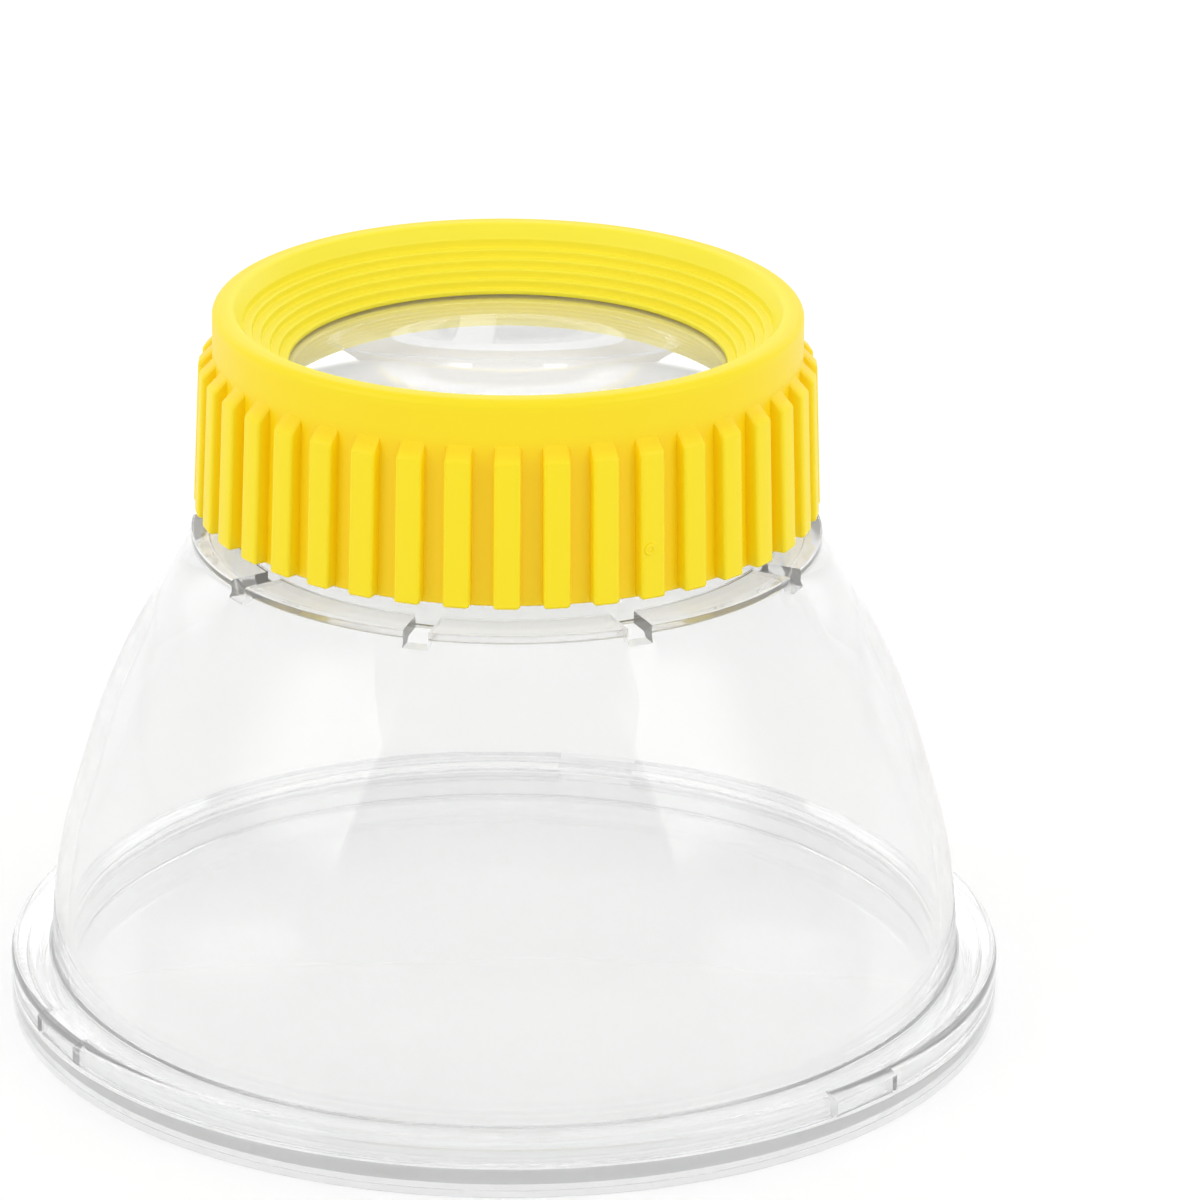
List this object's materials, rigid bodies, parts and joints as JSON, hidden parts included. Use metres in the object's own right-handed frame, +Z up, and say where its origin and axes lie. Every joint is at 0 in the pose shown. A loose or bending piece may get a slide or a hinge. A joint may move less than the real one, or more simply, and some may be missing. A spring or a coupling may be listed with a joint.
{
  "type": "bug catcher jar",
  "caption": "Clear flared insect viewing jar on a push-on base tray, with air slots round its shoulder and a ribbed screw cap that holds a magnifying lens.",
  "frame": {"origin": "centre of the circle that the base tray stands on", "axes": "+Z up along the jar's axis, -Y towards the viewer of the picture, +X to that viewer's right"},
  "size_m": [0.12, 0.12, 0.0873],
  "materials": {
    "clear_plastic": "clear moulded plastic, polished",
    "lens_plastic": "water-clear moulded lens",
    "yellow_plastic": "bright yellow moulded plastic, glossy"
  },
  "bodies": {
    "tray": {"base_tray": "clear_plastic"},
    "jar": {"jar_body": "clear_plastic"},
    "optics": {"lens": "lens_plastic"},
    "cap": {"focus_cap": "yellow_plastic", "lens_retainer": "yellow_plastic"}
  },
  "joints": [
    {"name": "bell_lift", "type": "slide", "parent": "tray", "child": "jar", "axis": [0, 0, 1], "range_m": [0, 0.04]},
    {"name": "cap_lift", "type": "slide", "parent": "jar", "child": "optics", "axis": [0, 0, 1], "range_m": [0, 0.006]},
    {"name": "cap_turn", "type": "hinge", "parent": "optics", "child": "cap", "pos_m": [0, 0, 0.0628], "axis": [0, 0, 1], "range_deg": [0, 540]}
  ],
  "couplings": [
    {"joint": "cap_lift", "follows": "cap_turn", "m_per_rad": 0.00063661}
  ]
}
